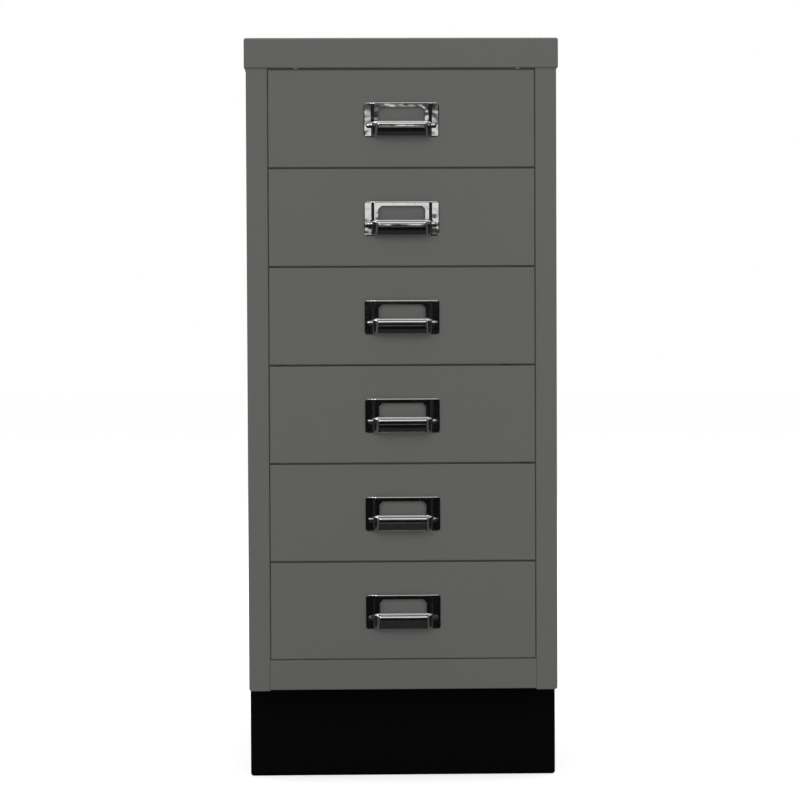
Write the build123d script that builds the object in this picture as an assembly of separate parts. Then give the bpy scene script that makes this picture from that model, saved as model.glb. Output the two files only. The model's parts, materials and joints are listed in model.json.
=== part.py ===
from build123d import *
import os

# A free-standing steel cabinet with drawers for A4 papers, on a recessed plinth.
# Millimetres. X is to the right, Y to the back and Z up; the drawer pulls face -Y.
# The origin is on the floor, under the middle of the whole object, pulls included.

# ---- Driving dimensions ----------------------------------------------------------------

drawer_count = 6

# Casing
casing_width = 280.0
casing_depth = 377.0  # stile face to back
casing_height = 590.0  # underside of the sides to the top of the lid
casing_sheet = 0.9
stile_width = 19.2
jamb_depth = 13.0
foot_bend = 1.4  # inside radius; every other fold is sharp inside, and a sheet thick outside

# Lid
lid_skirt = 27.0
lid_clearance = 0.8  # skirt to casing
lid_corner = 2.5
lid_top_bend = 2.0
lid_hem = 0.7  # bevel round the foot of the skirt
nib_width = 4.0
nib_depth = 0.9
nib_drop = 1.3
nib_places = (-95.0, 105.0)

# Gaps round the drawer fronts
gap_side = 0.8
gap_between = 1.6
gap_lid = 1.8
gap_rail = 1.0

# Rail, base and back
rail_height = 27.0
rail_flange = 15.0
base_upstand = 12.0
back_flange = 12.0
panel_clearance = 0.3

# Posts that carry the runners: hat sections welded to the sides
post_web = 24.0
post_foot = 10.0
front_post_inset = 60.0  # stile face to the middle of the front posts
rear_post_inset = 47.0  # back to the middle of the rear posts
post_foot_height = 3.0  # above the base of the casing
post_head_drop = 12.0  # below the top of the casing

# Drawers
drawer_sheet = 0.8
pan_depth = 13.0
tray_inset = 8.3  # jamb to tray wall
tray_room = 25.0  # back of the tray to the back panel
tray_rise = 4.0  # bottom of the front to the tray floor
rim_width = 7.0
rim_drop = 9.4  # top of the front to the top of the rim
rear_wall_drop = 12.0
rear_wall_flange = 8.0

# Runners, their front pads and the shoes on the tray rims
runner_sheet = 1.0
runner_room = 18.0  # back of the runners to the back panel
runner_flange = 7.4
runner_height = 10.0  # inside
pad_thickness = 4.2
pad_length = 25.0
pad_inset = 2.0
pad_play = 0.5  # pad to the web of its runner
pad_chamfer = 1.5
shoe_length = 30.0
shoe_chamfer = 1.6
running_clearance = 0.3
stop_clearance = 0.5

# Pull with a card frame, pressed from one blank
pull_width = 67.6
pull_height = 30.8
pull_sheet = 1.0
pull_reach = 10.0
pull_corner = 2.3
pull_drop = 1.2  # middle of the front to the middle of the pull
frame_width = 56.4  # card frame, over the feet of its two steps
frame_step = 4.6
frame_raise = 1.4  # depth of the card pocket
window_width = 42.6
window_height = 13.0
window_chamfer = 3.2
window_head = 3.8
shelf_strip = 0.3  # metal left between the window and the shelf
shelf_fall = 1.3
nose_height = 4.0
nose_round = 1.75
waist_reach = 8.9
waist_fall = 0.5
lip_reach = 9.3
lip_rise = 0.8  # foot of the plate to the edge of the lip
cup_nose_width = 43.0
cup_foot_width = 55.2
cup_corner = 4.0
bead_width = 63.6  # bead at the nose, which runs out onto the ears
bead_height = 4.6
bead_rise = 1.3
bead_bevel = 1.2
tab_spread = 63.0  # over the two tabs that hold the pull
tab_height = 6.0
tab_length = 6.0
tab_rise = 5.0  # middle of the plate to the middle of the tabs
tab_play = 0.2

# Plinth
plinth_height = 83.0
plinth_recess = 30.0
plinth_sheet = 1.2
plinth_foot_bend = 3.4
plinth_flange = 22.0
screw_radius = 3.0
screw_hole = 7.0  # square, punched
screw_across_flats = 10.0
screw_head = 4.0
screw_grip = 7.0
screw_side_inset = 10.0
screw_front_inset = 12.0
screw_back_inset = 20.0

# ---- Derived places --------------------------------------------------------------------

lid_overhang = lid_clearance + casing_sheet
lid_width = casing_width + 2 * lid_overhang
lid_depth = casing_depth + 2 * lid_overhang

total_depth = pull_reach + casing_depth + lid_overhang
front_y = pull_reach - total_depth / 2
back_y = front_y + casing_depth

casing_base = plinth_height
casing_top = casing_base + casing_height
lid_under = casing_top - casing_sheet
lid_bottom = casing_top - lid_skirt
side_top = lid_under - panel_clearance

side_inner = casing_width / 2 - casing_sheet
opening_half = casing_width / 2 - stile_width
seat_z = casing_base + casing_sheet  # top of the side flanges
rail_top = seat_z + rail_height
rail_back = front_y + rail_flange

front_stack = lid_bottom - gap_lid - rail_top - gap_rail
front_height = (front_stack - (drawer_count - 1) * gap_between) / drawer_count
front_pitch = front_height + gap_between
front_half = opening_half - gap_side

tray_half = opening_half - tray_inset
rim_tip = tray_half + rim_width
tray_front = front_y + pan_depth
back_face = back_y - 2 * casing_sheet  # inside of the back panel
tray_back = back_face - tray_room
rim_top = front_height - rim_drop  # above the bottom of its front, as the next five are
rim_under = rim_top - drawer_sheet
pad_top = rim_under - running_clearance
channel_floor = pad_top - pad_thickness
channel_roof = channel_floor + runner_height
rear_wall_top = rim_top - rear_wall_drop

runner_front = tray_front + drawer_sheet + running_clearance
runner_back = back_face - runner_room
runner_tip = opening_half - runner_flange
pad_front = runner_front + pad_inset
pad_back = pad_front + pad_length
shoe_front = tray_back - shoe_length
travel = shoe_front - pad_back - stop_clearance

post_outer = side_inner
post_inner = opening_half + runner_sheet
plinth_front = front_y + plinth_recess

# Places on the pull, from the middle of its plate
pull_top = pull_height / 2
window_top = pull_top - window_head
window_bottom = window_top - window_height
shelf_top = window_bottom - shelf_strip
nose_top = shelf_top - shelf_fall
nose_foot = nose_top - nose_height
bead_middle = (nose_top + nose_foot) / 2
frame_face = frame_raise + pull_sheet
tab_seat = drawer_sheet + pull_sheet


def front_bottom(row):
    """Height of the bottom of a drawer front; row 1 is at the top."""
    return rail_top + gap_rail + (drawer_count - row) * front_pitch


# ---- Shaping helpers -------------------------------------------------------------------


def block(x, y, z):
    """Block between the low and the high value on each axis."""
    size = (x[1] - x[0], y[1] - y[0], z[1] - z[0])
    centre = ((x[0] + x[1]) / 2, (y[0] + y[1]) / 2, (z[0] + z[1]) / 2)
    return Pos(*centre) * Box(*size)


def folded(corners, sheet, side, inner=()):
    """Section of a sheet folded at the given corners of one of its faces.

    A fold is sharp inside and a sheet thick outside. The folds listed in inner stay sharp on the
    line itself: those that turn the other way, and those too shallow to need a radius.
    """
    radii = [0 if fold in inner else sheet for fold in range(len(corners) - 2)]
    face_line = FilletPolyline(*corners, radius=radii)
    return make_face(offset(face_line, amount=sheet, side=side).edges())


def along_x(section, half):
    """Extrude a section drawn as (Y, Z) across the object, from -half to half."""
    return extrude(Plane.YZ.offset(-half) * section, amount=2 * half)


def along_y(section, start, end):
    """Extrude a section drawn as (X, Z) from front to back."""
    return extrude(Plane.XZ.offset(-end) * section, amount=end - start)


def along_z(section, bottom, top):
    """Extrude a section drawn as (X, Y) upwards."""
    return extrude(Plane.XY.offset(bottom) * section, amount=top - bottom)


def mirrored(piece):
    """The same piece on the other side of the cabinet."""
    return mirror(piece, about=Plane.YZ)


def pair(piece):
    """A piece and its mirror image, as two solids."""
    return Compound([*piece.solids(), *mirrored(piece).solids()])


def save(piece, name):
    """Write one piece under its own name."""
    export_step(piece, f"parts/{name}.step")


# ---- Casing ----------------------------------------------------------------------------


def screw_places():
    """The four screws that hold the plinth under the casing."""
    across = casing_width / 2 - screw_side_inset
    return [
        (x, y)
        for x in (-across, across)
        for y in (plinth_front + screw_front_inset, back_y - screw_back_inset)
    ]


def screw_holes(bottom, top):
    """Square punched holes for the plinth screws, between two heights."""
    half = screw_hole / 2
    return [block((x - half, x + half), (y - half, y + half), (bottom, top)) for x, y in screw_places()]


def foot_edge(body):
    """The lower outer edge of a block of the left side."""
    return body.edges().filter_by(Axis.Y).group_by(Axis.Z)[0].sort_by(Axis.X)[0]


def side_panel():
    """Left side: wall, front stile with its jamb, rear return and bottom flange, in one sheet."""
    outer, inner = -casing_width / 2, -opening_half
    body = block((outer, inner), (front_y, back_y), (casing_base, side_top))
    standing = fillet(body.edges().filter_by(Axis.Z), casing_sheet)
    body = standing & fillet(foot_edge(body), foot_bend + casing_sheet)
    hollow = block(
        (outer + casing_sheet, inner - casing_sheet),
        (front_y + casing_sheet, back_y - casing_sheet),
        (seat_z, casing_top),
    )
    hollow = fillet(foot_edge(hollow), foot_bend)
    throat = block(
        (inner - 2 * casing_sheet, inner + casing_sheet),
        (front_y + jamb_depth, back_y - casing_sheet),
        (seat_z, casing_top),
    )
    return body - hollow - throat - screw_holes(casing_base - casing_sheet, seat_z + casing_sheet)


def lid():
    """Pressed lid, hemmed inwards against the casing, with two nibs over the top drawer."""
    half = lid_width / 2
    front, back = front_y - lid_overhang, back_y + lid_overhang
    shell = block((-half, half), (front, back), (lid_bottom, casing_top))
    shell = fillet(shell.edges().filter_by(Axis.Z), lid_corner)
    shell = fillet(shell.faces().sort_by(Axis.Z)[-1].edges(), lid_top_bend)
    shell = chamfer(shell.faces().sort_by(Axis.Z)[0].edges(), lid_hem)
    hollow = block(
        (-half + casing_sheet, half - casing_sheet),
        (front + casing_sheet, back - casing_sheet),
        (lid_bottom + casing_sheet, lid_under),
    )
    hollow = fillet(hollow.edges().filter_by(Axis.Z), lid_corner - casing_sheet)
    mouth = block(
        (-casing_width / 2, casing_width / 2),
        (front_y, back_y),
        (lid_bottom - casing_sheet, lid_bottom + 2 * casing_sheet),
    )
    shell = shell - hollow - mouth
    for place in nib_places:
        shell += block(
            (place - nib_width / 2, place + nib_width / 2),
            (front_y - nib_depth, front_y),
            (lid_bottom - nib_drop, lid_bottom + casing_sheet / 2),
        )
    return shell


def front_rail():
    """Bottom rail between the stiles: a channel with its face flush."""
    corners = (
        (rail_back, seat_z),
        (front_y, seat_z),
        (front_y, rail_top),
        (rail_back, rail_top),
    )
    return along_x(folded(corners, casing_sheet, Side.RIGHT), opening_half)


def base_panel():
    """Floor of the casing, on the side flanges, with an upstand front and rear."""
    front = rail_back + panel_clearance
    back = back_face - back_flange - panel_clearance
    corners = (
        (front, seat_z + base_upstand),
        (front, seat_z),
        (back, seat_z),
        (back, seat_z + base_upstand),
    )
    half = side_inner - foot_bend - panel_clearance
    panel = along_x(folded(corners, casing_sheet, Side.LEFT), half)
    return panel - screw_holes(casing_base, seat_z + 2 * casing_sheet)


def back_panel():
    """Back, inside the rear returns, with a flange top and bottom."""
    face = back_y - casing_sheet
    top = side_top - panel_clearance
    corners = (
        (back_face - back_flange, seat_z),
        (face, seat_z),
        (face, top),
        (back_face - back_flange, top),
    )
    half = side_inner - foot_bend - panel_clearance
    return along_x(folded(corners, casing_sheet, Side.LEFT), half)


def post(centre):
    """Left hat-section post: its web carries the runners, its feet lie on the side."""
    web = post_web / 2
    foot = web + post_foot
    corners = (
        (-post_outer + casing_sheet, centre - foot),
        (-post_outer + casing_sheet, centre - web),
        (-post_inner, centre - web),
        (-post_inner, centre + web),
        (-post_outer + casing_sheet, centre + web),
        (-post_outer + casing_sheet, centre + foot),
    )
    section = folded(corners, casing_sheet, Side.LEFT, inner=(0, 3))
    return along_z(section, seat_z + post_foot_height, side_top - post_head_drop)


# ---- Runners ---------------------------------------------------------------------------


def runner(row):
    """Left runner: a channel on its side, open towards the drawer."""
    bottom = front_bottom(row) + channel_floor - runner_sheet
    top = front_bottom(row) + channel_roof + runner_sheet
    outer = -opening_half - runner_sheet
    corners = ((-runner_tip, bottom), (outer, bottom), (outer, top), (-runner_tip, top))
    section = folded(corners, runner_sheet, Side.RIGHT)
    return along_y(section, runner_front, runner_back)


def runner_pads():
    """Left front pads, one on the floor of each runner; the shoes stop against them."""
    pads = []
    for row in range(1, drawer_count + 1):
        floor = front_bottom(row) + channel_floor
        pad = block(
            (-opening_half + pad_play, -runner_tip - running_clearance),
            (pad_front, pad_back),
            (floor, floor + pad_thickness),
        )
        lead_in = pad.edges().filter_by(Axis.X).sort_by(Axis.Z)[-2:]
        pads += chamfer(lead_in, pad_chamfer).solids()
    return Compound(pads)


# ---- Drawers ---------------------------------------------------------------------------


def drawer_front():
    """Front: a shallow pan with returned edges. Drawn with its bottom at height 0."""
    pan = block((-front_half, front_half), (front_y, tray_front), (0, front_height))
    pan = fillet(pan.faces().sort_by(Axis.Y)[0].edges(), drawer_sheet)
    pan -= block(
        (-front_half + drawer_sheet, front_half - drawer_sheet),
        (front_y + drawer_sheet, tray_front + drawer_sheet),
        (drawer_sheet, front_height - drawer_sheet),
    )
    tab_middle = front_height / 2 - pull_drop + tab_rise
    slot = block(
        (tab_spread / 2 - pull_sheet - tab_play, tab_spread / 2 + tab_play),
        (front_y - drawer_sheet, front_y + 2 * drawer_sheet),
        (tab_middle - tab_height / 2 - tab_play, tab_middle + tab_height / 2 + tab_play),
    )
    return pan - slot - mirrored(slot)


def drawer_tray():
    """Tray folded from one sheet, rims outwards, with a welded front wall and rear wall."""
    inner = tray_half - drawer_sheet
    floor = tray_rise + drawer_sheet
    corners = (
        (-rim_tip, rim_top),
        (-inner, rim_top),
        (-inner, floor),
        (inner, floor),
        (inner, rim_top),
        (rim_tip, rim_top),
    )
    section = folded(corners, drawer_sheet, Side.RIGHT, inner=(1, 2))
    trough = along_y(section, tray_front + drawer_sheet, tray_back)
    front_wall = block(
        (-rim_tip, rim_tip), (tray_front, tray_front + drawer_sheet), (tray_rise, rim_top)
    )
    rear_corners = (
        (tray_back, floor),
        (tray_back, rear_wall_top),
        (tray_back - rear_wall_flange, rear_wall_top),
    )
    rear_wall = along_x(folded(rear_corners, drawer_sheet, Side.LEFT), inner)
    return trough + front_wall + rear_wall


def tray_shoes():
    """Rear shoes, slotted over the rims, that slide in the runners."""
    shoe = block(
        (-opening_half + running_clearance, -tray_half - running_clearance),
        (shoe_front, tray_back),
        (channel_floor + running_clearance, channel_roof - running_clearance),
    )
    shoe = chamfer(shoe.edges().filter_by(Axis.X), shoe_chamfer)
    slot = block((-rim_tip, -tray_half), (shoe_front, tray_back), (rim_under, rim_top))
    return pair(shoe - slot)


def cup_body(inset, nose_radius, corner_radius):
    """Body of the pull's cup, drawn in by inset: the section of its shelf, nose and lip, within
    a plan with splayed ends. It runs on past the plate, to the back and downwards."""
    back, foot = 2 * pull_sheet, -pull_top - 2 * pull_sheet
    section_line = FilletPolyline(
        (back, shelf_top),
        (-frame_face, shelf_top),
        (-pull_reach, nose_top),
        (-pull_reach, nose_foot),
        (-waist_reach, nose_foot - waist_fall),
        (-lip_reach, foot),
        (back, foot),
        radius=[0, nose_radius, nose_radius, 0, 0],
    )
    plan_line = FilletPolyline(
        (-cup_foot_width / 2, back),
        (-cup_foot_width / 2, -pull_sheet),
        (-cup_nose_width / 2, -pull_reach),
        (cup_nose_width / 2, -pull_reach),
        (cup_foot_width / 2, -pull_sheet),
        (cup_foot_width / 2, back),
        radius=[0, corner_radius, corner_radius, 0],
    )
    section = make_face([*section_line.edges(), Line(section_line @ 1, section_line @ 0)])
    plan = make_face([*plan_line.edges(), Line(plan_line @ 1, plan_line @ 0)])
    if inset:
        section = offset(section, amount=-inset, kind=Kind.INTERSECTION)
        plan = offset(plan, amount=-inset, kind=Kind.INTERSECTION)
    return along_x(section, cup_foot_width) & along_z(plan, foot, pull_top)


def drawer_pull():
    """Card frame and cup pull in one pressing. Its plate lies in the XZ plane at Y = 0."""
    half = pull_width / 2
    step_foot = frame_width / 2
    step_head = step_foot - frame_step
    frame_line = (
        (-half, 0),
        (-step_foot, 0),
        (-step_head, -frame_raise),
        (step_head, -frame_raise),
        (step_foot, 0),
        (half, 0),
    )
    section = folded(frame_line, pull_sheet, Side.RIGHT, inner=range(len(frame_line)))
    frame = along_z(section, shelf_top, pull_top)
    plate = block((-half, half), (-pull_sheet, 0), (-pull_top, shelf_top))
    bead = block(
        (-bead_width / 2, bead_width / 2),
        (-pull_sheet - bead_rise, 0),
        (bead_middle - bead_height / 2, bead_middle + bead_height / 2),
    )
    bead = chamfer(bead.faces().sort_by(Axis.Y)[0].edges(), bead_bevel)
    outline = extrude(
        Plane.XZ * RectangleRounded(pull_width, pull_height, pull_corner), amount=2 * pull_reach
    )
    window = block(
        (-window_width / 2, window_width / 2),
        (-2 * frame_face, 0),
        (window_bottom, window_top),
    )
    upper_corners = window.edges().filter_by(Axis.Y).sort_by(Axis.Z)[-2:]
    window = chamfer(upper_corners, window_chamfer)
    cup = cup_body(0, nose_round, cup_corner)
    hollow = cup_body(pull_sheet, 0, 0)
    pull = (frame + plate + bead + cup - hollow) & outline
    pull -= window
    pull -= block((-half, half), (-2 * pull_reach, -pull_sheet), (-2 * pull_top, lip_rise - pull_top))
    tab_corners = (
        (tab_spread / 2, -pull_sheet / 2),
        (tab_spread / 2, tab_seat),
        (tab_spread / 2 - tab_length, tab_seat),
    )
    section = folded(tab_corners, pull_sheet, Side.LEFT, inner=(0,))
    tab = along_z(section, tab_rise - tab_height / 2, tab_rise + tab_height / 2)
    return pull + tab + mirrored(tab)


# ---- Plinth ----------------------------------------------------------------------------


def plinth():
    """Recessed plinth: a folded ring with a flange inwards at its top and at the floor."""
    half = casing_width / 2
    ring = block((-half, half), (plinth_front, back_y), (0, plinth_height))
    ring = fillet(ring.faces().sort_by(Axis.Z)[0].edges(), plinth_foot_bend)
    hollow = block(
        (-half + plinth_sheet, half - plinth_sheet),
        (plinth_front + plinth_sheet, back_y - plinth_sheet),
        (plinth_sheet, plinth_height - plinth_sheet),
    )
    hollow = fillet(hollow.faces().sort_by(Axis.Z)[0].edges(), plinth_foot_bend - plinth_sheet)
    well = block(
        (-half + plinth_flange, half - plinth_flange),
        (plinth_front + plinth_flange, back_y - plinth_flange),
        (-plinth_sheet, plinth_height + plinth_sheet),
    )
    return ring - hollow - well - screw_holes(plinth_height - 2 * plinth_sheet, seat_z)


def plinth_screws():
    """Hexagon-head screws, up through the plinth flange into the casing."""
    hexagon = RegularPolygon(screw_across_flats / 2, 6, major_radius=False)
    seat = plinth_height - plinth_sheet
    screw = along_z(hexagon, seat - screw_head, seat)
    screw += along_z(Circle(screw_radius), seat, seat + screw_grip)
    return Compound([s for x, y in screw_places() for s in (Pos(x, y, 0) * screw).solids()])


# ---- The cabinet -----------------------------------------------------------------------

os.makedirs("parts", exist_ok=True)

left_side = side_panel()
save(left_side, "left_side")
save(mirrored(left_side), "right_side")
save(lid(), "top_panel")
save(front_rail(), "front_rail")
save(base_panel(), "base_panel")
save(back_panel(), "back_panel")

front_post = post(front_y + front_post_inset)
rear_post = post(back_y - rear_post_inset)
save(front_post, "left_front_post")
save(mirrored(front_post), "right_front_post")
save(rear_post, "left_rear_post")
save(mirrored(rear_post), "right_rear_post")

pads = runner_pads()
save(pads, "left_runner_pads")
save(mirrored(pads), "right_runner_pads")

save(plinth(), "plinth")
save(plinth_screws(), "plinth_screws")

front = drawer_front()
tray = drawer_tray()
shoes = tray_shoes()
pull = drawer_pull()
for row in range(1, drawer_count + 1):
    left_runner = runner(row)
    save(left_runner, f"left_runner_{row}")
    save(mirrored(left_runner), f"right_runner_{row}")
    lift = Pos(0, 0, front_bottom(row))
    pull_place = Pos(0, front_y, front_bottom(row) + front_height / 2 - pull_drop)
    save(lift * front, f"drawer_{row}_front")
    save(lift * tray, f"drawer_{row}_tray")
    save(lift * shoes, f"drawer_{row}_shoes")
    save(pull_place * pull, f"drawer_{row}_pull")

print(f"drawer travel {travel:.2f}, front height {front_height:.2f}, pitch {front_pitch:.2f}")
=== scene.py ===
"""Looks for a small steel cabinet of six drawers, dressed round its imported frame.

Everything is in metres in the frame's own axes: +X to the right, +Y to the back, +Z up,
with the drawer pulls facing -Y and the floor at height 0.
"""

from __future__ import annotations

import json
import logging
import math
from collections.abc import Callable
from dataclasses import dataclass
from enum import Enum

import bpy
from mathutils import Matrix, Vector

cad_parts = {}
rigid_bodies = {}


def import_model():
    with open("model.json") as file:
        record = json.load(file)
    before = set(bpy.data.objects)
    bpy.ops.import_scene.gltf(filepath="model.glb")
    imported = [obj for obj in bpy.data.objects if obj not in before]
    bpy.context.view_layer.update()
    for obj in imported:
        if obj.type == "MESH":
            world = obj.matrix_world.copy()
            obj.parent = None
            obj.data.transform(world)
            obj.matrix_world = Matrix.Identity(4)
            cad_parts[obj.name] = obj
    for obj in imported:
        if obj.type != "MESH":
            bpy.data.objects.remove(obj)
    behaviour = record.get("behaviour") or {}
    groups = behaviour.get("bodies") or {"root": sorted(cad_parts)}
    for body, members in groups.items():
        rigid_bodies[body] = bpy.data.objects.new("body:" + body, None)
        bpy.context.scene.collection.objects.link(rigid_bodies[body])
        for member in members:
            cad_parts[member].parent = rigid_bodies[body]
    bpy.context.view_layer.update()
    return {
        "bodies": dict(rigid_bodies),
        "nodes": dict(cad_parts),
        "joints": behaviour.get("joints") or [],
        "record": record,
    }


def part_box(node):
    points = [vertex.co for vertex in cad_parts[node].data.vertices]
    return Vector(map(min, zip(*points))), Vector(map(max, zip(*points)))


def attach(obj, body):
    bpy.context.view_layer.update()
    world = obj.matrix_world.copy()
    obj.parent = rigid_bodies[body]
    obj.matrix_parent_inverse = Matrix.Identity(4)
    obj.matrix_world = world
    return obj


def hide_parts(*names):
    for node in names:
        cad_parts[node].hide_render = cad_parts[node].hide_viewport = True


LOG = logging.getLogger("cabinet")
MM = 0.001

Point = tuple[float, float]
Place = tuple[float, float, float]
Colour = tuple[float, float, float]
Test = Callable[[Vector], bool]
Tree = bpy.types.NodeTree
Node = bpy.types.Node
Socket = bpy.types.NodeSocket
Piece = bpy.types.Object


class Slot(Enum):
    """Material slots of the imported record, one for each finish."""

    GREY_PAINT = "grey_paint"
    PLINTH_PAINT = "plinth_paint"
    CHROME = "chrome"
    RUNNER_STEEL = "runner_steel"
    ZINC_STEEL = "zinc_steel"
    NYLON = "nylon"


class Axis(Enum):
    """Axes of the frame, by their place in a vector."""

    X = 0
    Y = 1
    Z = 2


class Cut(Enum):
    """What a cutting tool does to the piece that it meets."""

    REMOVE = "DIFFERENCE"
    KEEP = "INTERSECT"


# ---- Shared surface effects ------------------------------------------------------------


class Effects:
    """Shader node groups that more than one finish uses, each built once."""

    SMEAR_FROM = 0.5  # level of the noise at which a smear begins
    SMEAR_FULL = 0.8  # level at which it is full
    LINE_STRETCH = 12.0  # repeats per metre along the drawn lines

    @staticmethod
    def group(name: str, inputs: dict[str, float], outputs: dict[str, str]) -> Tree:
        """Start a node group.

        Args:
            name: Name of the group.
            inputs: Value sockets and their defaults.
            outputs: Socket names and their socket types.

        Returns:
            The new group, with its input and output nodes in place.
        """
        tree = bpy.data.node_groups.new(name, "ShaderNodeTree")
        for label, value in inputs.items():
            socket = tree.interface.new_socket(label, in_out="INPUT", socket_type="NodeSocketFloat")
            socket.default_value = value
        for label, kind in outputs.items():
            tree.interface.new_socket(label, in_out="OUTPUT", socket_type=kind)
        tree.nodes.new("NodeGroupInput").name = "in"
        tree.nodes.new("NodeGroupOutput").name = "out"
        tree.nodes.new("ShaderNodeTexCoord").name = "place"
        return tree

    @staticmethod
    def noise(tree: Tree, name: str, scale: float, detail: float) -> Node:
        """Add a noise pattern on the piece's own coordinates.

        Args:
            tree: Tree that gets the node.
            name: Name of the node.
            scale: Repeats per metre.
            detail: Octaves of the pattern.

        Returns:
            The noise node.
        """
        node = tree.nodes.new("ShaderNodeTexNoise")
        node.name = name
        node.inputs["Scale"].default_value = scale
        node.inputs["Detail"].default_value = detail
        tree.links.new(tree.nodes["place"].outputs["Object"], node.inputs["Vector"])
        return node

    @classmethod
    def orange_peel(cls) -> Tree:
        """Fine ripple of a sprayed and baked coat, with its slow drift in tone.

        Returns:
            A group that puts out the ripple's height and the drift as a value from 0 to 1.
        """
        ready = bpy.data.node_groups.get("orange_peel")
        if ready:
            return ready
        outputs = {"Height": "NodeSocketFloat", "Drift": "NodeSocketFloat"}
        tree = cls.group("orange_peel", {"Ripples per metre": 900.0}, outputs)
        ripple = cls.noise(tree, "ripple", scale=900.0, detail=2.0)
        drift = cls.noise(tree, "drift", scale=5.0, detail=2.0)
        source, sink = tree.nodes["in"], tree.nodes["out"]
        tree.links.new(source.outputs["Ripples per metre"], ripple.inputs["Scale"])
        tree.links.new(ripple.outputs["Fac"], sink.inputs["Height"])
        tree.links.new(drift.outputs["Fac"], sink.inputs["Drift"])
        return tree

    @classmethod
    def handling(cls) -> Tree:
        """Faint smears and dust that handling leaves on a surface.

        Returns:
            A group that puts out one mask from 0, clean, to 1, marked.
        """
        ready = bpy.data.node_groups.get("handling")
        if ready:
            return ready
        tree = cls.group("handling", {"Amount": 0.3}, {"Mask": "NodeSocketFloat"})
        smear = cls.noise(tree, "smear", scale=60.0, detail=5.0)
        limit = tree.nodes.new("ShaderNodeMapRange")
        limit.inputs["From Min"].default_value = cls.SMEAR_FROM
        limit.inputs["From Max"].default_value = cls.SMEAR_FULL
        scale = tree.nodes.new("ShaderNodeMath")
        scale.operation = "MULTIPLY"
        tree.links.new(smear.outputs["Fac"], limit.inputs["Value"])
        tree.links.new(limit.outputs["Result"], scale.inputs[0])
        tree.links.new(tree.nodes["in"].outputs["Amount"], scale.inputs[1])
        tree.links.new(scale.outputs["Value"], tree.nodes["out"].inputs["Mask"])
        return tree

    @classmethod
    def drawn_lines(cls) -> Tree:
        """Fine lines along Y that rolling and folding leave in bright sheet.

        Returns:
            A group that puts out the lines as a height from 0 to 1.
        """
        ready = bpy.data.node_groups.get("drawn_lines")
        if ready:
            return ready
        tree = cls.group("drawn_lines", {"Lines per metre": 2500.0}, {"Height": "NodeSocketFloat"})
        lines = cls.noise(tree, "lines", scale=1.0, detail=3.0)
        stretch = tree.nodes.new("ShaderNodeMapping")
        bundle = tree.nodes.new("ShaderNodeCombineXYZ")
        bundle.inputs["Y"].default_value = cls.LINE_STRETCH
        place, source = tree.nodes["place"], tree.nodes["in"]
        tree.links.new(source.outputs["Lines per metre"], bundle.inputs["X"])
        tree.links.new(source.outputs["Lines per metre"], bundle.inputs["Z"])
        tree.links.new(bundle.outputs["Vector"], stretch.inputs["Scale"])
        tree.links.new(place.outputs["Object"], stretch.inputs["Vector"])
        tree.links.new(stretch.outputs["Vector"], lines.inputs["Vector"])
        tree.links.new(lines.outputs["Fac"], tree.nodes["out"].inputs["Height"])
        return tree


# ---- Finishes --------------------------------------------------------------------------


class Palette:
    """Small helpers that every finish uses to put its material together."""

    EDGE_SAMPLES = 6  # samples of the eased edges

    @staticmethod
    def start(name: str) -> tuple[bpy.types.Material, Tree, Node]:
        """Make a material with a bare shader.

        Args:
            name: Name of the material.

        Returns:
            The material, its tree and its main shader.
        """
        material = bpy.data.materials.new(name)
        material.use_nodes = True
        tree = material.node_tree
        return material, tree, tree.nodes["Principled BSDF"]

    @staticmethod
    def effect(tree: Tree, group: Tree, **values: float) -> Node:
        """Place a shared effect in a material.

        Args:
            tree: Tree of the material.
            group: The shared effect.
            values: Values for the effect's inputs, with _ for a space.

        Returns:
            The group node.
        """
        node = tree.nodes.new("ShaderNodeGroup")
        node.node_tree = group
        for label, value in values.items():
            node.inputs[label.replace("_", " ")].default_value = value
        return node

    @staticmethod
    def span(tree: Tree, source: Socket, low: float, high: float) -> Socket:
        """Stretch a value from 0..1 to low..high.

        Args:
            tree: Tree of the material.
            source: Socket that gives the value.
            low: Result at 0.
            high: Result at 1.

        Returns:
            The socket that gives the result.
        """
        node = tree.nodes.new("ShaderNodeMapRange")
        node.inputs["To Min"].default_value = low
        node.inputs["To Max"].default_value = high
        tree.links.new(source, node.inputs["Value"])
        return node.outputs["Result"]

    @staticmethod
    def relief(tree: Tree, height: Socket, depth: float, edge: float = 0.0) -> Socket:
        """Turn a height into a normal, over edges that are eased a little.

        Args:
            tree: Tree of the material.
            height: Socket that gives the height from 0 to 1.
            depth: Height of the relief in metres.
            edge: Radius to which sharp edges seem eased, in metres.

        Returns:
            The socket that gives the normal.
        """
        bump = tree.nodes.new("ShaderNodeBump")
        bump.inputs["Distance"].default_value = depth
        tree.links.new(height, bump.inputs["Height"])
        if edge:
            bevel = tree.nodes.new("ShaderNodeBevel")
            bevel.samples = Palette.EDGE_SAMPLES
            bevel.inputs["Radius"].default_value = edge
            tree.links.new(bevel.outputs["Normal"], bump.inputs["Normal"])
        return bump.outputs["Normal"]

    @staticmethod
    def tones(tree: Tree, source: Socket, first: Colour, second: Colour) -> Socket:
        """Blend two tones of a colour.

        Args:
            tree: Tree of the material.
            source: Socket that gives the share of the second tone.
            first: Linear colour at 0.
            second: Linear colour at 1.

        Returns:
            The socket that gives the colour.
        """
        mix = tree.nodes.new("ShaderNodeMix")
        mix.data_type = "RGBA"
        mix.inputs["A"].default_value = (*first, 1.0)
        mix.inputs["B"].default_value = (*second, 1.0)
        tree.links.new(source, mix.inputs["Factor"])
        return mix.outputs["Result"]


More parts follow.
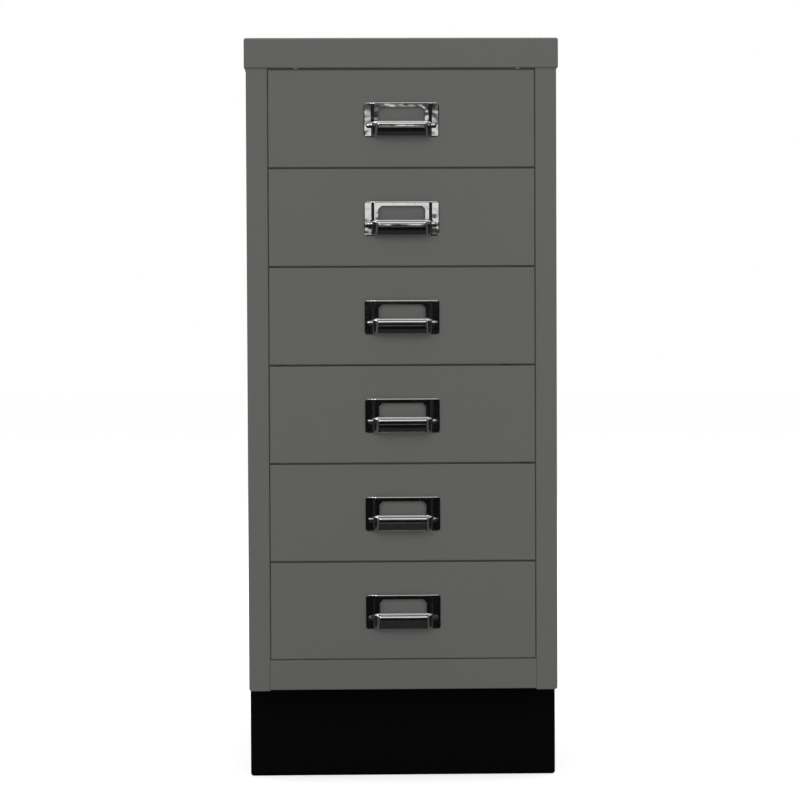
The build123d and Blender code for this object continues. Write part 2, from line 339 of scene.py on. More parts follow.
@dataclass(frozen=True)
class PowderCoat:
    """Sprayed and baked coat: satin, with a very fine orange peel.

    Light seeps into the narrow gaps of a real cabinet. Where seep is above 0, the coat gives out
    a faint light of its own in enclosed places, to stand in for it.
    """

    name: str
    colour: Colour
    roughness: float
    specular: float
    ripples: float = 900.0  # per metre
    ripple_depth: float = 0.012 * MM
    edge: float = 0.35 * MM  # radius to which its edges seem eased
    drift: float = 0.03  # share by which the tone strays to either side
    smears: float = 0.5
    smear_roughness: float = 0.08  # added where a smear is full
    seep: float = 0.0  # strength of the light in the most enclosed places
    seep_colour: Colour = (1.0, 1.0, 0.95)
    seep_reach: float = 0.5  # how far off other surfaces count as enclosing
    seep_opening: float = 0.15  # openness at which the light has faded out
    seep_samples: int = 4

    def build(self) -> bpy.types.Material:
        """Make the material.

        Returns:
            The finished material.
        """
        material, tree, shader = Palette.start(self.name)
        peel = Palette.effect(tree, Effects.orange_peel(), Ripples_per_metre=self.ripples)
        marks = Palette.effect(tree, Effects.handling(), Amount=self.smears)
        darker = tuple(c * (1 - self.drift) for c in self.colour)
        lighter = tuple(c * (1 + self.drift) for c in self.colour)
        colour = Palette.tones(tree, peel.outputs["Drift"], darker, lighter)
        dullest = self.roughness + self.smear_roughness
        rough = Palette.span(tree, marks.outputs["Mask"], self.roughness, dullest)
        normal = Palette.relief(tree, peel.outputs["Height"], self.ripple_depth, self.edge)
        tree.links.new(colour, shader.inputs["Base Color"])
        tree.links.new(rough, shader.inputs["Roughness"])
        tree.links.new(normal, shader.inputs["Normal"])
        shader.inputs["Specular IOR Level"].default_value = self.specular
        if self.seep:
            self.lift(tree, shader)
        return material

    def lift(self, tree: Tree, shader: Node) -> None:
        """Give out a faint light in enclosed places, and none in the open.

        Args:
            tree: Tree of the material.
            shader: Its main shader.
        """
        openness = tree.nodes.new("ShaderNodeAmbientOcclusion")
        openness.samples = self.seep_samples
        openness.inputs["Distance"].default_value = self.seep_reach
        share = tree.nodes.new("ShaderNodeMapRange")
        share.inputs["From Min"].default_value = self.seep_opening
        share.inputs["From Max"].default_value = 0.0
        tree.links.new(openness.outputs["AO"], share.inputs["Value"])
        light = Palette.tones(tree, share.outputs["Result"], (0.0, 0.0, 0.0), self.seep_colour)
        tree.links.new(light, shader.inputs["Emission Color"])
        shader.inputs["Emission Strength"].default_value = self.seep


@dataclass(frozen=True)
class ChromePlate:
    """Bright chrome over a pressing, with the faint waves that pressing leaves.

    Upward faces of the shelf are left dull, where polishing doesn't reach, and are painted whiter, a
    painted highlight of the light from above.
    """

    name: str = "bright_chrome"
    colour: Colour = (0.66, 0.66, 0.67)
    roughness: float = 0.06
    smears: float = 0.6
    smear_roughness: float = 0.07  # added where a smear is full
    wave: float = 0.18 * MM
    waves: float = 60.0  # per metre
    # whiter colour of the marked faces: a painted highlight
    painted_highlight_colour: Colour = (0.85, 0.85, 0.85)
    satin_roughness: float = 0.85

    def build(self) -> bpy.types.Material:
        """Make the material.

        Returns:
            The finished material.
        """
        material, tree, shader = Palette.start(self.name)
        marks = Palette.effect(tree, Effects.handling(), Amount=self.smears)
        peel = Palette.effect(tree, Effects.orange_peel(), Ripples_per_metre=self.waves)
        satin_and_highlight = tree.nodes.new("ShaderNodeAttribute")
        satin_and_highlight.attribute_name = "satin_and_highlight"
        # The marked faces get a whiter colour: a painted highlight of the light from above.
        colour = Palette.tones(tree, satin_and_highlight.outputs["Fac"], self.colour, self.painted_highlight_colour)
        either = tree.nodes.new("ShaderNodeMath")
        either.operation = "MAXIMUM"
        dullest = self.roughness + self.smear_roughness
        handled = Palette.span(tree, marks.outputs["Mask"], self.roughness, dullest)
        plated = Palette.span(tree, satin_and_highlight.outputs["Fac"], 0.0, self.satin_roughness)
        tree.links.new(handled, either.inputs[0])
        tree.links.new(plated, either.inputs[1])
        rough = either.outputs["Value"]
        normal = Palette.relief(tree, peel.outputs["Height"], self.wave)
        tree.links.new(colour, shader.inputs["Base Color"])
        tree.links.new(rough, shader.inputs["Roughness"])
        tree.links.new(normal, shader.inputs["Normal"])
        shader.inputs["Metallic"].default_value = 1.0
        return material


@dataclass(frozen=True)
class BrightSheet:
    """Zinc-plated sheet or bar: bright, with fine drawn lines."""

    name: str
    colour: Colour
    roughness: float
    lines: float = 2500.0  # per metre
    line_depth: float = 0.006 * MM
    line_gloss: float = 0.05  # taken from the roughness at the foot of a line
    line_dulling: float = 0.12  # added to the roughness at its top
    edge: float = 0.2 * MM  # radius to which its edges seem eased
    smears: float = 0.8
    smear_tone: float = 0.8  # share of the colour that is left where a smear is full

    def build(self) -> bpy.types.Material:
        """Make the material.

        Returns:
            The finished material.
        """
        material, tree, shader = Palette.start(self.name)
        drawn = Palette.effect(tree, Effects.drawn_lines(), Lines_per_metre=self.lines)
        marks = Palette.effect(tree, Effects.handling(), Amount=self.smears)
        dulled = tuple(c * self.smear_tone for c in self.colour)
        colour = Palette.tones(tree, marks.outputs["Mask"], self.colour, dulled)
        glossiest, dullest = self.roughness - self.line_gloss, self.roughness + self.line_dulling
        rough = Palette.span(tree, drawn.outputs["Height"], glossiest, dullest)
        normal = Palette.relief(tree, drawn.outputs["Height"], self.line_depth, self.edge)
        tree.links.new(colour, shader.inputs["Base Color"])
        tree.links.new(rough, shader.inputs["Roughness"])
        tree.links.new(normal, shader.inputs["Normal"])
        shader.inputs["Metallic"].default_value = 1.0
        return material


@dataclass(frozen=True)
class MouldedNylon:
    """Natural nylon with the fine grain of its mould."""

    name: str = "natural_nylon"
    colour: Colour = (0.62, 0.61, 0.57)
    yellowing: Colour = (0.97, 0.95, 0.88)  # share of each colour that is left where it has aged most
    roughness: float = 0.5
    grain_dulling: float = 0.1  # added to the roughness at the top of the grain
    grain: float = 2200.0  # per metre
    grain_depth: float = 0.02 * MM
    edge: float = 0.3 * MM  # radius to which its edges seem eased
    milkiness: float = 0.15  # share of the light that spreads inside
    spread: Colour = (0.002, 0.0018, 0.0014)  # how far each colour spreads

    def build(self) -> bpy.types.Material:
        """Make the material.

        Returns:
            The finished material.
        """
        material, tree, shader = Palette.start(self.name)
        grain = Palette.effect(tree, Effects.orange_peel(), Ripples_per_metre=self.grain)
        yellowed = tuple(c * share for c, share in zip(self.colour, self.yellowing))
        colour = Palette.tones(tree, grain.outputs["Drift"], self.colour, yellowed)
        dullest = self.roughness + self.grain_dulling
        rough = Palette.span(tree, grain.outputs["Height"], self.roughness, dullest)
        normal = Palette.relief(tree, grain.outputs["Height"], self.grain_depth, self.edge)
        tree.links.new(colour, shader.inputs["Base Color"])
        tree.links.new(rough, shader.inputs["Roughness"])
        tree.links.new(normal, shader.inputs["Normal"])
        shader.inputs["Subsurface Weight"].default_value = self.milkiness
        shader.inputs["Subsurface Radius"].default_value = self.spread
        return material


FINISHES = {
    Slot.GREY_PAINT: PowderCoat(
        "grey_powder_coat", (0.125, 0.125, 0.1175), roughness=0.46, specular=0.35, seep=0.028
    ),
    Slot.PLINTH_PAINT: PowderCoat(
        "black_powder_coat", (0.0022, 0.0022, 0.0021), roughness=0.4, specular=0.09
    ),
    Slot.CHROME: ChromePlate(),
    Slot.RUNNER_STEEL: BrightSheet("zinc_plated_sheet", (0.42, 0.43, 0.44), roughness=0.32),
    Slot.ZINC_STEEL: BrightSheet("zinc_plated_bar", (0.5, 0.5, 0.48), roughness=0.28, lines=1200.0),
    Slot.NYLON: MouldedNylon(),
}


class Wardrobe:
    """All the finishes, built once, and put on nodes and pieces by slot."""

    def __init__(self) -> None:
        """Build every finish."""
        self.materials = {slot.value: finish.build() for slot, finish in FINISHES.items()}

    def dress(self, piece: Piece, slot: str) -> None:
        """Put the finish of a slot on a piece.

        Args:
            piece: Object to dress.
            slot: Name of the material slot.
        """
        piece.data.materials.clear()
        piece.data.materials.append(self.materials[slot])


# ---- Modelling helpers -----------------------------------------------------------------


class Bench:
    """Short names for the steps of modelling by hand."""

    IN_LINE = 0.99  # least cosine at which two directions count as one

    @staticmethod
    def pick(*pieces: Piece) -> None:
        """Select these pieces and no others, and make the first of them active.

        Args:
            pieces: Objects to select.
        """
        bpy.ops.object.select_all(action="DESELECT")
        for piece in pieces:
            piece.select_set(True)
        bpy.context.view_layer.objects.active = pieces[0]

    @classmethod
    def clear_marks(cls, piece: Piece, kind: str) -> None:
        """Pick a piece and deselect all of its mesh.

        Args:
            piece: Mesh to clear.
            kind: What is selected next, EDGE or FACE.
        """
        cls.pick(piece)
        bpy.ops.object.mode_set(mode="EDIT")
        bpy.ops.mesh.select_mode(type=kind)
        bpy.ops.mesh.select_all(action="DESELECT")
        bpy.ops.object.mode_set(mode="OBJECT")

    @staticmethod
    def box(name: str, low: Vector, high: Vector) -> Piece:
        """Add a cube between two corners.

        Args:
            name: Name of the object.
            low: Lowest corner.
            high: Highest corner.

        Returns:
            The new object, with its place in its mesh.
        """
        bpy.ops.object.select_all(action="DESELECT")
        bpy.ops.mesh.primitive_cube_add(size=1.0, location=(low + high) / 2, scale=high - low)
        piece = bpy.context.object
        piece.name = name
        bpy.ops.object.transform_apply(location=True, rotation=True, scale=True)
        return piece

    @classmethod
    def bevel_edges(cls, piece: Piece, axis: Axis, width: float, segments: int, chosen: Test) -> None:
        """Bevel the edges that run along an axis and pass a test.

        Args:
            piece: Mesh to change.
            axis: The axis that they run along.
            width: Width of the bevel.
            segments: Segments of the bevel.
            chosen: Test on an edge's middle.
        """
        cls.clear_marks(piece, "EDGE")
        corners = piece.data.vertices
        for edge in piece.data.edges:
            first, second = (corners[v].co for v in edge.vertices)
            along = (second - first).normalized()
            edge.select = abs(along[axis.value]) > cls.IN_LINE and chosen((first + second) / 2)
        bpy.ops.object.mode_set(mode="EDIT")
        bpy.ops.mesh.bevel(offset=width, segments=segments, affect="EDGES")
        bpy.ops.object.mode_set(mode="OBJECT")

    @classmethod
    def extrude_face(cls, piece: Piece, normal: Vector, reach: Vector, chosen: Test) -> None:
        """Extrude the faces that look one way and pass a test.

        Args:
            piece: Mesh to change.
            normal: Direction that the faces look in.
            reach: Move of the new faces.
            chosen: Test on a face's middle.
        """
        cls.clear_marks(piece, "FACE")
        for face in piece.data.polygons:
            face.select = face.normal.dot(normal) > cls.IN_LINE and chosen(face.center)
        bpy.ops.object.mode_set(mode="EDIT")
        bpy.ops.mesh.extrude_region_move(TRANSFORM_OT_translate={"value": reach})
        bpy.ops.object.mode_set(mode="OBJECT")

    @classmethod
    def apply(cls, piece: Piece, kind: str, **settings: object) -> None:
        """Add a modifier and apply it.

        Args:
            piece: Mesh to change.
            kind: Type of the modifier.
            settings: Properties of the modifier.
        """
        cls.pick(piece)
        modifier = piece.modifiers.new(kind.lower(), kind)
        for label, value in settings.items():
            setattr(modifier, label, value)
        bpy.ops.object.modifier_apply(modifier=modifier.name)

    @classmethod
    def combine(cls, piece: Piece, tool: Piece, cut: Cut) -> None:
        """Cut a piece with a tool, which is used up.

        Args:
            piece: Mesh to change.
            tool: Mesh that cuts it.
            cut: Whether what lies in the tool is removed or kept.
        """
        cls.apply(piece, "BOOLEAN", object=tool, operation=cut.value, solver="EXACT")
        bpy.data.objects.remove(tool)

    @classmethod
    def join(cls, *pieces: Piece) -> Piece:
        """Join meshes into the first of them.

        Args:
            pieces: Meshes to join.

        Returns:
            The joined mesh.
        """
        cls.pick(*pieces)
        bpy.ops.object.join()
        return pieces[0]

    @classmethod
    def smooth(cls, piece: Piece, degrees: float) -> None:
        """Shade a piece smooth where its faces meet flatter than an angle.

        Args:
            piece: Mesh to shade.
            degrees: Largest angle that is shaded smooth.
        """
        cls.pick(piece)
        bpy.ops.object.shade_smooth_by_angle(angle=math.radians(degrees))


def eased(value: float, start: float, end: float) -> float:
    """Smooth step of a value from 0 at start to 1 at end.

    Args:
        value: Value that is set against start and end.
        start: Where the step begins.
        end: Where the step ends.

    Returns:
        A value from 0 to 1.
    """
    share = min(1.0, max(0.0, (value - start) / (end - start)))
    return share * share * (3 - 2 * share)


def rounded_path(corners: list[Point], radii: list[float], step: float) -> list[Point]:
    """Lay points at even steps along a path with rounded corners.

    Args:
        corners: Corners of the path.
        radii: Radius at each inner corner.
        step: Distance from point to point.

    Returns:
        The points from the first corner to the last.
    """
    bends = []
    for before, corner, after, radius in zip(corners, corners[1:], corners[2:], radii):
        here, back, ahead = Vector(corner), Vector(before), Vector(after)
        arrive = (here - back).normalized()
        leave = (ahead - here).normalized()
        turn = arrive.angle(leave)
        setback = radius * math.tan(turn / 2)
        start, end = here - arrive * setback, here + leave * setback
        count = max(2, math.ceil(radius * turn / step))
        weight = math.cos(turn / 2)
        for i in range(count + 1):
            share = i / count
            a, b, c = (1 - share) ** 2, 2 * share * (1 - share) * weight, share**2
            bends.append((a * start + b * here + c * end) / (a + b + c))
    stops = [Vector(corners[0]), *bends, Vector(corners[-1])]
    path = [stops[0]]
    for first, second in zip(stops, stops[1:]):
        count = max(1, math.ceil((second - first).length / step))
        path.extend(first.lerp(second, (i + 1) / count) for i in range(count))
    return [tuple(point) for point in path]


# ---- The pull --------------------------------------------------------------------------


@dataclass
class Pull:
    """Card frame and cup pull in one pressing.

    Its sizes are in millimetres, from the middle of its plate, with depth out from the drawer front.
    """

    # The plate, its raised frame and its window
    width: float = 67.6
    height: float = 30.8
    corner: float = 2.6  # radius of the plate's corners
    sheet: float = 1.0
    frame_half: float = 28.2  # half the width of the frame, at the foot of its step
    frame_step: float = 4.6  # length of the step from the frame down to the ears
    frame_depth: float = 2.4
    window_half: float = 21.3
    window_top: float = 11.6
    window_bottom: float = -1.4
    window_cut: float = 3.0  # width of the cuts at its upper corners
    window_round: float = 0.7  # width by which the cuts' own corners are eased
    frame_round: float = 0.7  # radius of the bend from the frame to the shelf
    rim_roll: float = 0.3  # how far the rim rolls back
    rim_reach: float = 0.8  # width of the rim that rolls back

    # The shelf, the nose and the hollow cup under it
    shelf_foot: float = -1.7
    shelf_before: float = 0.8  # how far under the shelf's foot the frame has faded out at the ends
    shelf_after: float = 0.4  # how far above it that begins
    nose_top: float = -3.3
    nose_foot: float = -7.3
    nose_depth: float = 10.0
    nose_round: float = 1.9
    nose_tuck: float = 0.9  # radius of the nose's foot
    waist_drop: float = 0.5  # how far under the nose's foot the waist is
    waist_round: float = 0.4
    waist_depth: float = 9.2
    belly_foot: float = -11.4
    belly_round: float = 2.0
    belly_depth: float = 8.9
    lip_depth: float = 7.4
    lip_rise: float = 0.8  # foot of the plate to the edge of the lip
    cup_nose_half: float = 20.6  # half the width over which the cup is at its full depth
    cup_foot_half: float = 27.6  # half the width where its ends meet the plate
    satin_and_highlight_depth: float = 6.2  # how far out the shelf is left unpolished and gets a painted highlight

    # The bead that runs out of the nose onto the ears
    tongue_half: float = 31.8
    tongue_rise: float = 0.6
    tongue_spread: float = 0.3  # how far it is wider than the nose, on each side

    # The tabs that go through the drawer front
    tab_half: float = 31.5  # middle of the pull to the outer face of a tab
    tab_height: float = 6.0
    tab_rise: float = 5.0
    tab_length: float = 6.0
    tab_bend: float = 0.7  # width by which the outside of its bend is eased
    tab_corner: float = 1.2  # width by which the corners of its end are eased
    front_sheet: float = 0.8

    # How the blank is divided and cut
    step: float = 0.3  # length of its facets along the section
    step_across: float = 0.48  # and across it
    hem: float = 0.05  # margin that is trimmed off all round
    probe: float = 0.05  # distance to either side at which the slope of the pressing is taken
    cutter_half: float = 3.0  # how far the cutting tools reach to either side of the blank
    same: float = 0.001  # distance within which two places count as one
    smooth_angle: float = 35.0

    def __post_init__(self) -> None:
        """Lay out the middle section and the length of sheet that it takes."""
        corners = [
            (self.height / 2, self.frame_depth),
            (self.shelf_foot, self.frame_depth),
            (self.nose_top, self.nose_depth),
            (self.nose_foot, self.nose_depth),
            (self.nose_foot - self.waist_drop, self.waist_depth),
            (self.belly_foot, self.belly_depth),
            (-self.height / 2, self.lip_depth),
        ]
        radii = [
            self.frame_round, self.nose_round, self.nose_tuck, self.waist_round, self.belly_round
        ]
        self.section = rounded_path(corners, radii, self.step)
        self.runs = [self.height / 2]
        for first, second in zip(self.section, self.section[1:]):
            self.runs.append(self.runs[-1] - math.dist(first, second))

    def middle(self, run: float) -> Point:
        """Point of the middle section.

        Args:
            run: Place along the flat blank, which equals the height above the shelf.

        Returns:
            The height and the depth.
        """
        last = len(self.runs) - 1
        k = next((i for i in range(1, last) if run >= self.runs[i]), last)
        share = (self.runs[k - 1] - run) / (self.runs[k - 1] - self.runs[k])
        return tuple(a + (b - a) * share for a, b in zip(self.section[k - 1], self.section[k]))

    def surface(self, x: float, run: float) -> Vector:
        """Place of a point of the blank's outer face after pressing.

        Args:
            x: Place across the blank.
            run: Place up the blank.

        Returns:
            The place in millimetres.
        """
        height, middle_depth = self.middle(run)
        across = abs(x)
        outside = eased(across, self.frame_half - self.frame_step, self.frame_half)
        fade_from, fade_to = self.shelf_foot - self.shelf_before, self.shelf_foot + self.shelf_after
        under = 1 - eased(height, fade_from, fade_to)
        base = self.sheet + (self.frame_depth - self.sheet) * (1 - outside) * (1 - under)
        cup = 1 - eased(across, self.cup_nose_half, self.cup_foot_half)
        depth = base + (middle_depth - base) * cup
        ridge_half = (self.nose_top - self.nose_foot) / 2 + self.tongue_spread
        past = max(0.0, across - (self.tongue_half - ridge_half))
        off = math.hypot(past, height - (self.nose_top + self.nose_foot) / 2)
        depth = max(depth, self.sheet + self.tongue_rise * (1 - eased(off, 0.0, ridge_half)))
        rim = min(self.width / 2 - across, self.height / 2 - abs(height))
        roll = max(0.0, 1 - max(rim, 0.0) / self.rim_reach)
        raised = height + self.lip_rise * cup * eased(-height, -self.nose_foot, self.height / 2)
        return Vector((x, self.rim_roll * roll**2 - depth, raised))

    def pressing(self) -> Piece:
        """Cut a fine flat blank to its outline and window, and press it to shape.

        Returns:
            The pressing, centred on the middle of its back.
        """
        foot = self.runs[-1]
        size = Vector((self.width, self.height / 2 - foot)) * MM
        bpy.ops.object.select_all(action="DESELECT")
        bpy.ops.mesh.primitive_grid_add(
            x_subdivisions=round(self.width / self.step_across),
            y_subdivisions=len(self.section),
            size=1.0,
            location=(0.0, 0.0, (self.height / 2 + foot) / 2 * MM),
            rotation=(math.radians(90), 0.0, 0.0),
        )
        blank = bpy.context.object
        blank.name = "pull"
        blank.scale = (size.x, size.y, 1.0)
        bpy.ops.object.transform_apply(location=True, rotation=True, scale=True)
        Bench.apply(blank, "SOLIDIFY", thickness=self.sheet * MM, offset=-1.0)
        self.trim(blank, foot)
        for vertex in blank.data.vertices:
            x, within, run = (value / MM for value in vertex.co)
            place = self.surface(x, run)
            across = self.surface(x + self.probe, run) - self.surface(x - self.probe, run)
            upwards = self.surface(x, run + self.probe) - self.surface(x, run - self.probe)
            inwards = upwards.cross(across).normalized()
            vertex.co = (place + inwards * within) * MM
        self.mark_shelf_satin_and_highlight(blank)
        return blank

    def mark_shelf_satin_and_highlight(self, blank: Piece) -> None:
        """Mark the upward faces of the shelf, which polishing doesn't reach and which get a painted
        highlight.

        Args:
            blank: The pressing.
        """
        least_upward = 0.7
        mask = blank.data.attributes.new("satin_and_highlight", "FLOAT", "FACE")
        for face in blank.data.polygons:
            x, depth = face.center.x / MM, -face.center.y / MM
            inside = abs(x) < self.window_half and self.sheet < depth < self.satin_and_highlight_depth
            # upward faces of the shelf: unpolished, and painted whiter as a painted highlight
            mask.data[face.index].value = float(inside and face.normal.z > least_upward)

    def trim(self, blank: Piece, foot: float) -> None:
        """Cut the outline with its round corners, and the window with its cut upper corners.

        Args:
            blank: The flat blank.
            foot: Lowest place on the blank.
        """
        half = self.width / 2 - self.hem
        low = Vector((-half, -self.cutter_half, foot + self.hem)) * MM
        high = Vector((half, self.cutter_half, self.height / 2 - self.hem)) * MM
        outline = Bench.box("outline", low, high)
        Bench.bevel_edges(outline, Axis.Y, self.corner * MM, 8, lambda middle: True)
        Bench.combine(blank, outline, Cut.KEEP)
        low = Vector((-self.window_half, -self.cutter_half, self.window_bottom)) * MM
        high = Vector((self.window_half, self.cutter_half, self.window_top)) * MM
        window = Bench.box("window", low, high)
        upper = (self.window_top + self.window_bottom) / 2 * MM
        Bench.bevel_edges(window, Axis.Y, self.window_cut * MM, 1, lambda middle: middle.z > upper)
        Bench.bevel_edges(window, Axis.Y, self.window_round * MM, 3, lambda middle: middle.z > upper)
        Bench.combine(blank, window, Cut.REMOVE)

    def tab(self, side: float) -> Piece:
        """One of the two tabs that hold the pull, through a slot and turned inwards.

        Args:
            side: -1 for left, 1 for right.

        Returns:
            The tab.
        """
        outer, inner = side * self.tab_half, side * (self.tab_half - self.sheet)
        low = Vector((min(outer, inner), -self.sheet / 2, self.tab_rise - self.tab_height / 2)) * MM
        seat = self.front_sheet + self.sheet
        high = Vector((max(outer, inner), seat, self.tab_rise + self.tab_height / 2)) * MM
        tab = Bench.box("tab", low, high)
        behind, tip = self.front_sheet * MM, (self.tab_half - 2 * self.sheet) * MM
        bpy.ops.object.mode_set(mode="EDIT")
        bpy.ops.mesh.bisect(plane_co=(0.0, behind, 0.0), plane_no=(0.0, 1.0, 0.0))
        bpy.ops.object.mode_set(mode="OBJECT")
        inward = Vector((-side, 0.0, 0.0))
        reach = inward * (self.tab_length - self.sheet) * MM
        Bench.extrude_face(tab, inward, reach, lambda middle: middle.y > behind)
        Bench.bevel_edges(
            tab, Axis.Z, self.tab_bend * MM, 4,
            lambda middle: abs(middle.x - outer * MM) < self.same * MM and middle.y > behind,
        )
        Bench.bevel_edges(tab, Axis.Y, self.tab_corner * MM, 4, lambda middle: abs(middle.x) < tip)
        return tab

    def build(self, wardrobe: Wardrobe, rows: int) -> None:
        """Make one pull and put a copy on each drawer.

        Args:
            wardrobe: The finishes.
            rows: Number of drawers.
        """
        first = Bench.join(self.pressing(), self.tab(-1.0), self.tab(1.0))
        Bench.smooth(first, self.smooth_angle)
        for row in range(1, rows + 1):
            low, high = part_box(f"drawer_{row}_pull")
            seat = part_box(f"drawer_{row}_front")[0].y
            pull = first.copy()
            pull.data = first.data.copy()
            pull.name = f"chrome_pull_{row}"
            bpy.context.scene.collection.objects.link(pull)
            pull.data.transform(Matrix.Translation((0.0, seat, (low.z + high.z) / 2)))
            wardrobe.dress(pull, Slot.CHROME.value)
            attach(pull, f"drawer_{row}")
            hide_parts(f"drawer_{row}_pull")
            LOG.info("%s: %d faces", pull.name, len(pull.data.polygons))
        bpy.data.objects.remove(first)


# ---- The cabinet's own nodes -----------------------------------------------------------


class SheetWork:
    """The folded and moulded nodes of the frame, which keep their shape and get their finish."""

    def build(self, wardrobe: Wardrobe, frame: dict) -> None:
        """Dress every node in the finish of its slot.

        Args:
            wardrobe: The finishes.
            frame: The loaded frame.
        """
        slots = {part["node"]: part["material_slot"] for part in frame["record"]["subparts"]}
        for name, node in frame["nodes"].items():
            wardrobe.dress(node, slots[name])
            LOG.info("%s: %s", name, slots[name])


# ---- Studio ----------------------------------------------------------------------------


@dataclass
class Camera:
    """The photograph's viewpoint, as fitted to the cabinet's corners, with its turns in degrees."""

    place: Place = (-0.050521, -2.4, 0.413003)
    yaw: float = 1.249
    pitch: float = -1.717
    roll: float = -0.238
    focal_pixels: float = 2450.833
    picture: int = 800
    sensor: float = 36.0
    farthest: float = 50.0

    def build(self) -> None:
        """Place the camera and make it the scene's own."""
        yaw, pitch, roll = (math.radians(a) for a in (self.yaw, self.pitch, self.roll))
        ahead = Vector(
            (math.sin(yaw) * math.cos(pitch), math.cos(yaw) * math.cos(pitch), math.sin(pitch))
        )
        level = ahead.cross(Vector((0, 0, 1))).normalized()
        upright = level.cross(ahead)
        right = level * math.cos(roll) + upright * math.sin(roll)
        up = upright * math.cos(roll) - level * math.sin(roll)
        data = bpy.data.cameras.new("camera")
        data.sensor_width = self.sensor
        data.lens = self.focal_pixels * self.sensor / self.picture
        data.clip_end = self.farthest
        camera = bpy.data.objects.new("camera", data)
        turn = Matrix((right, up, -ahead)).transposed().to_4x4()
        camera.matrix_world = Matrix.Translation(self.place) @ turn
        bpy.context.scene.collection.objects.link(camera)
        bpy.context.scene.camera = camera


@dataclass
class Lamp:
    """One soft lamp."""

    name: str
    place: Place
    aim: Place
    size: Point
    power: float
    mirrored: bool = True  # whether it shows in reflections

    def build(self) -> None:
        """Place the lamp."""
        data = bpy.data.lights.new(self.name, "AREA")
        data.shape = "RECTANGLE"
        data.size, data.size_y = self.size
        data.energy = self.power
        lamp = bpy.data.objects.new(self.name, data)
        lamp.location = self.place
        lamp.visible_glossy = self.mirrored
        towards = Vector(self.aim) - Vector(self.place)
        lamp.rotation_euler = towards.to_track_quat("-Z", "Y").to_euler()
        bpy.context.scene.collection.objects.link(lamp)


@dataclass
class Card:
    """Dark card, seen only in reflections."""

    name: str
    low: Place
    high: Place
    tone: float

    def build(self) -> None:
        """Place the card."""
        card = Bench.box(self.name, Vector(self.low), Vector(self.high))
        material, _, shader = Palette.start(self.name)
        shader.inputs["Base Color"].default_value = (self.tone,) * 3 + (1.0,)
        shader.inputs["Specular IOR Level"].default_value = 0.0
        card.data.materials.append(material)
        card.visible_camera = False
        card.visible_diffuse = False
        card.visible_shadow = False


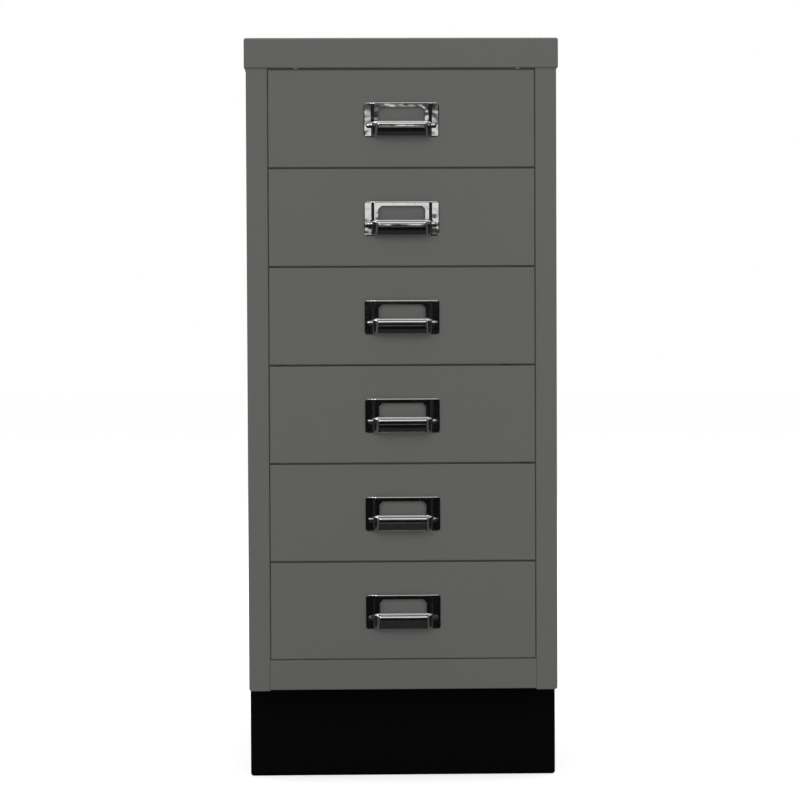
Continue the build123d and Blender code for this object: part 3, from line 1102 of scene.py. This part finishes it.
@dataclass
class Studio:
    """Pale floor, white surroundings, soft lamps, and dark cards for the bright metal."""

    floor_half: float = 12.0
    floor_tone: float = 0.8
    floor_lift: float = 0.55  # light that the floor adds for the camera, so that it shows white
    surround: float = 0.55  # strength of the light from all round
    cards: tuple[Card, ...] = (
        Card("card_ahead", (-4.0, -5.02, -3.0), (4.0, -5.0, 0.7), 0.012),
        Card("card_over", (-4.0, -5.02, 1.0), (4.0, -5.0, 3.6), 0.02),
        Card("card_left", (-2.62, -5.0, -3.0), (-2.6, 0.9, 1.7), 0.03),
        Card("card_right", (2.6, -5.0, -3.0), (2.62, 0.9, 1.7), 0.03),
        Card("card_under", (-4.0, -1.4, -0.08), (4.0, 1.2, -0.06), 0.06),
        Card("card_away", (-4.0, -5.0, -0.08), (4.0, -1.4, -0.06), 0.015),
    )
    lamps: tuple[Lamp, ...] = (
        Lamp("key", (-1.6, -2.6, 2.4), (0.0, 0.0, 0.35), (1.6, 1.6), 26.0),
        Lamp("fill", (1.9, -2.4, 1.1), (0.0, 0.0, 0.25), (1.4, 1.4), 18.0, mirrored=False),
        Lamp("top", (0.0, 0.3, 2.6), (0.0, 0.0, 0.6), (1.8, 1.8), 18.0),
        Lamp("back", (0.4, 2.6, 1.8), (0.0, 0.0, 0.35), (1.6, 1.6), 16.0),
    )

    def build(self) -> None:
        """Build the whole studio."""
        bpy.context.scene.view_settings.view_transform = "Standard"
        self.build_world()
        self.build_floor()
        for card in self.cards:
            card.build()
        for lamp in self.lamps:
            lamp.build()

    def build_world(self) -> None:
        """Soft white light all round, and plain white for the camera and in reflections."""
        world = bpy.data.worlds.new("surround")
        world.use_nodes = True
        tree = world.node_tree
        light = tree.nodes["Background"]
        light.inputs["Color"].default_value = (1.0, 1.0, 1.0, 1.0)
        light.inputs["Strength"].default_value = self.surround
        white = tree.nodes.new("ShaderNodeBackground")
        white.inputs["Color"].default_value = (1.0, 1.0, 1.0, 1.0)
        mix = tree.nodes.new("ShaderNodeMixShader")
        tree.links.new(self.seen(tree), mix.inputs["Fac"])
        tree.links.new(light.outputs["Background"], mix.inputs[1])
        tree.links.new(white.outputs["Background"], mix.inputs[2])
        tree.links.new(mix.outputs["Shader"], tree.nodes["World Output"].inputs["Surface"])
        bpy.context.scene.world = world

    @staticmethod
    def seen(tree: Tree) -> Socket:
        """Whether a ray comes from the camera, a reflection or clear matter.

        Args:
            tree: Tree that gets the nodes.

        Returns:
            A socket that gives 1 if it does, and 0 if not.
        """
        path = tree.nodes.new("ShaderNodeLightPath")
        total = path.outputs["Is Camera Ray"]
        for label in ("Is Glossy Ray", "Is Transmission Ray"):
            plus = tree.nodes.new("ShaderNodeMath")
            plus.use_clamp = True
            tree.links.new(total, plus.inputs[0])
            tree.links.new(path.outputs[label], plus.inputs[1])
            total = plus.outputs["Value"]
        return total

    def build_floor(self) -> None:
        """Pale floor that shows white, apart from the cabinet's soft shadow."""
        bpy.ops.object.select_all(action="DESELECT")
        bpy.ops.mesh.primitive_plane_add(size=2 * self.floor_half)
        floor = bpy.context.object
        floor.name = "floor"
        material = bpy.data.materials.new("pale_floor")
        material.use_nodes = True
        tree = material.node_tree
        tree.nodes.remove(tree.nodes["Principled BSDF"])
        matt = tree.nodes.new("ShaderNodeBsdfDiffuse")
        matt.inputs["Color"].default_value = (self.floor_tone,) * 3 + (1.0,)
        glow = tree.nodes.new("ShaderNodeEmission")
        lift = tree.nodes.new("ShaderNodeMath")
        lift.operation = "MULTIPLY"
        lift.inputs[1].default_value = self.floor_lift
        both = tree.nodes.new("ShaderNodeAddShader")
        tree.links.new(self.seen(tree), lift.inputs[0])
        tree.links.new(lift.outputs["Value"], glow.inputs["Strength"])
        tree.links.new(matt.outputs["BSDF"], both.inputs[0])
        tree.links.new(glow.outputs["Emission"], both.inputs[1])
        tree.links.new(both.outputs["Shader"], tree.nodes["Material Output"].inputs["Surface"])
        floor.data.materials.append(material)
        floor.visible_glossy = False


def main() -> None:
    """Build the looks in order and report each piece."""
    logging.basicConfig(level=logging.INFO, format="%(name)s: %(message)s")
    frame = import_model()
    Camera().build()
    Studio().build()
    wardrobe = Wardrobe()
    SheetWork().build(wardrobe, frame)
    drawers = [body for body in frame["bodies"] if body.startswith("drawer_")]
    Pull().build(wardrobe, len(drawers))


if __name__ == "__main__":
    main()
